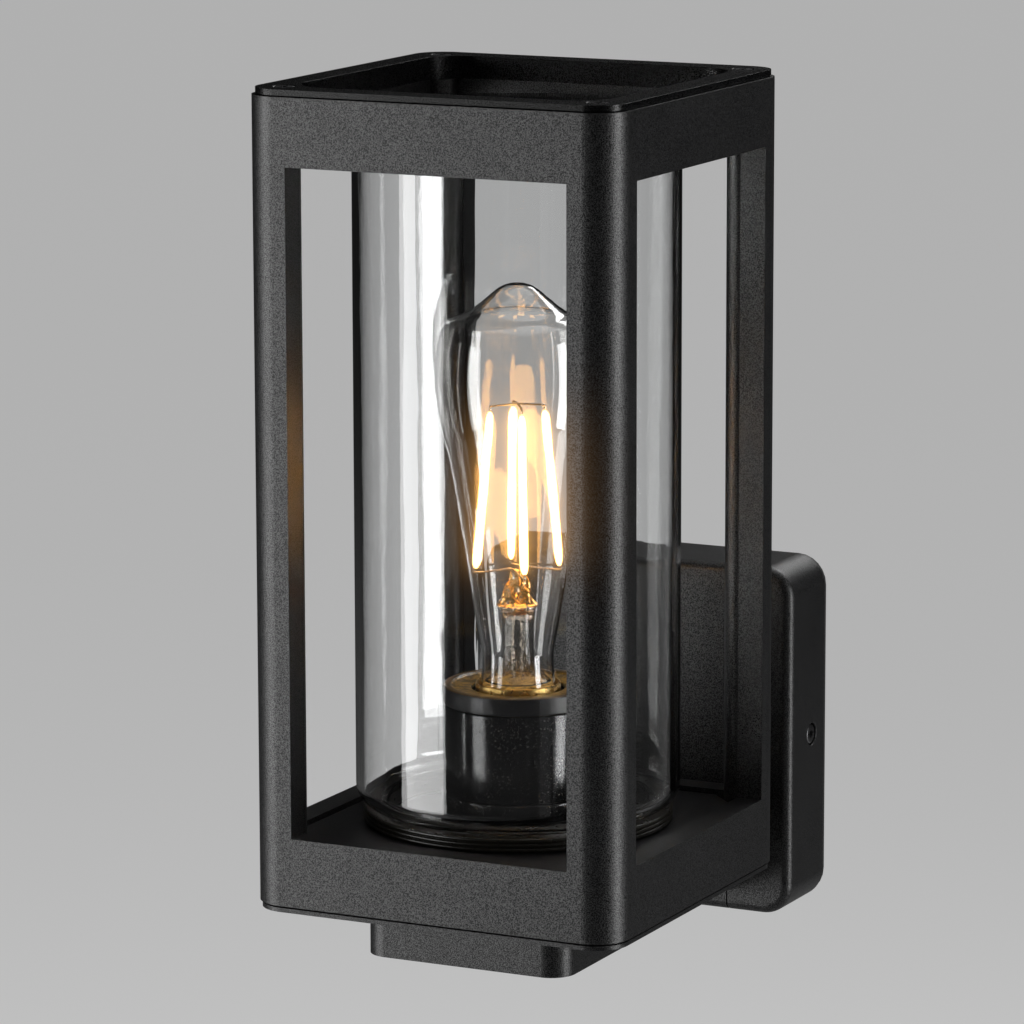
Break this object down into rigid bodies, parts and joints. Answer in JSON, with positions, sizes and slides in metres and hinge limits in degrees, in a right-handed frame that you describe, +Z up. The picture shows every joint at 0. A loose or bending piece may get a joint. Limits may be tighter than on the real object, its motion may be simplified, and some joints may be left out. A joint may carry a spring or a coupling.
{
  "type": "outdoor wall lantern",
  "caption": "Square open cage round a clear glass jar and filament bulb, carried by a low arm from a square wall box.",
  "frame": {"origin": "middle of the mounting bracket's back, in the wall's plane", "axes": "+Y into the wall, +Z up, +X to the right of someone who faces the lantern"},
  "size_m": [0.125, 0.1735, 0.2777],
  "materials": {
    "powder_coat": "die cast, with a fine-texture anthracite powder coat",
    "zinc_steel": "zinc plated",
    "black_screw": "black oxide",
    "brass": "bare pressed brass",
    "nickel": "nickel plated",
    "rubber": "matte",
    "silicone": "satin",
    "white_plastic": "moulded",
    "black_plastic": "semi-gloss moulded",
    "jar_glass": "clear polished",
    "bulb_glass": "clear polished",
    "phosphor": "phosphor coat, lit",
    "live_insulation": "satin",
    "neutral_insulation": "satin",
    "earth_insulation": "satin"
  },
  "bodies": {
    "lantern": {"mounting_bracket": "zinc_steel", "cable_grommet": "rubber", "wall_gasket": "rubber", "wall_box": "powder_coat", "box_screw_left": "black_screw", "box_screw_right": "black_screw", "terminal_block": "white_plastic", "terminal_screw_live": "zinc_steel", "terminal_screw_neutral": "zinc_steel", "terminal_screw_earth": "zinc_steel", "block_screw": "zinc_steel", "earth_screw": "brass", "support_arm": "powder_coat", "arm_screw_left": "zinc_steel", "arm_screw_right": "zinc_steel", "plate_screw_front": "zinc_steel", "plate_screw_back": "zinc_steel", "base_plate": "powder_coat", "base_screw_1": "black_screw", "base_screw_2": "black_screw", "base_screw_3": "black_screw", "base_screw_4": "black_screw", "tray_screw_left": "black_screw", "tray_screw_right": "black_screw", "cage": "powder_coat", "seat_tray": "powder_coat", "top_ring": "powder_coat", "ring_screw_1": "black_screw", "ring_screw_2": "black_screw", "ring_screw_3": "black_screw", "ring_screw_4": "black_screw", "jar_gasket": "silicone", "holder_base": "black_plastic", "holder_screw_left": "zinc_steel", "holder_screw_right": "zinc_steel", "holder_sleeve": "black_plastic", "holder_collar": "black_plastic", "holder_insert": "white_plastic", "socket_shell": "brass", "socket_contact": "brass", "live_lead": "live_insulation", "neutral_lead": "neutral_insulation", "earth_lead": "earth_insulation"},
    "jar": {"glass_jar": "jar_glass"},
    "bulb_tip": {"tip_contact": "nickel"},
    "bulb": {"bulb_glass": "bulb_glass", "bulb_cap": "brass", "cap_insulator": "black_plastic", "bulb_stem": "bulb_glass", "filament_1": "phosphor", "filament_2": "phosphor", "filament_3": "phosphor", "filament_4": "phosphor", "lead_in_live": "nickel", "lead_in_neutral": "nickel", "filament_link": "nickel"}
  },
  "joints": [
    {"name": "jar_lift", "type": "slide", "parent": "lantern", "child": "jar", "axis": [0, 0, 1], "range_m": [0, 0.235]},
    {"name": "bulb_rise", "type": "slide", "parent": "lantern", "child": "bulb_tip", "axis": [0, 0, 1], "range_m": [0, 0.0205]},
    {"name": "bulb_turn", "type": "hinge", "parent": "bulb_tip", "child": "bulb", "pos_m": [0, -0.111, 0], "axis": [0, 0, 1], "range_deg": [0, 1980]}
  ],
  "couplings": [
    {"joint": "bulb_rise", "follows": "bulb_turn", "m_per_rad": 0.00057757}
  ]
}
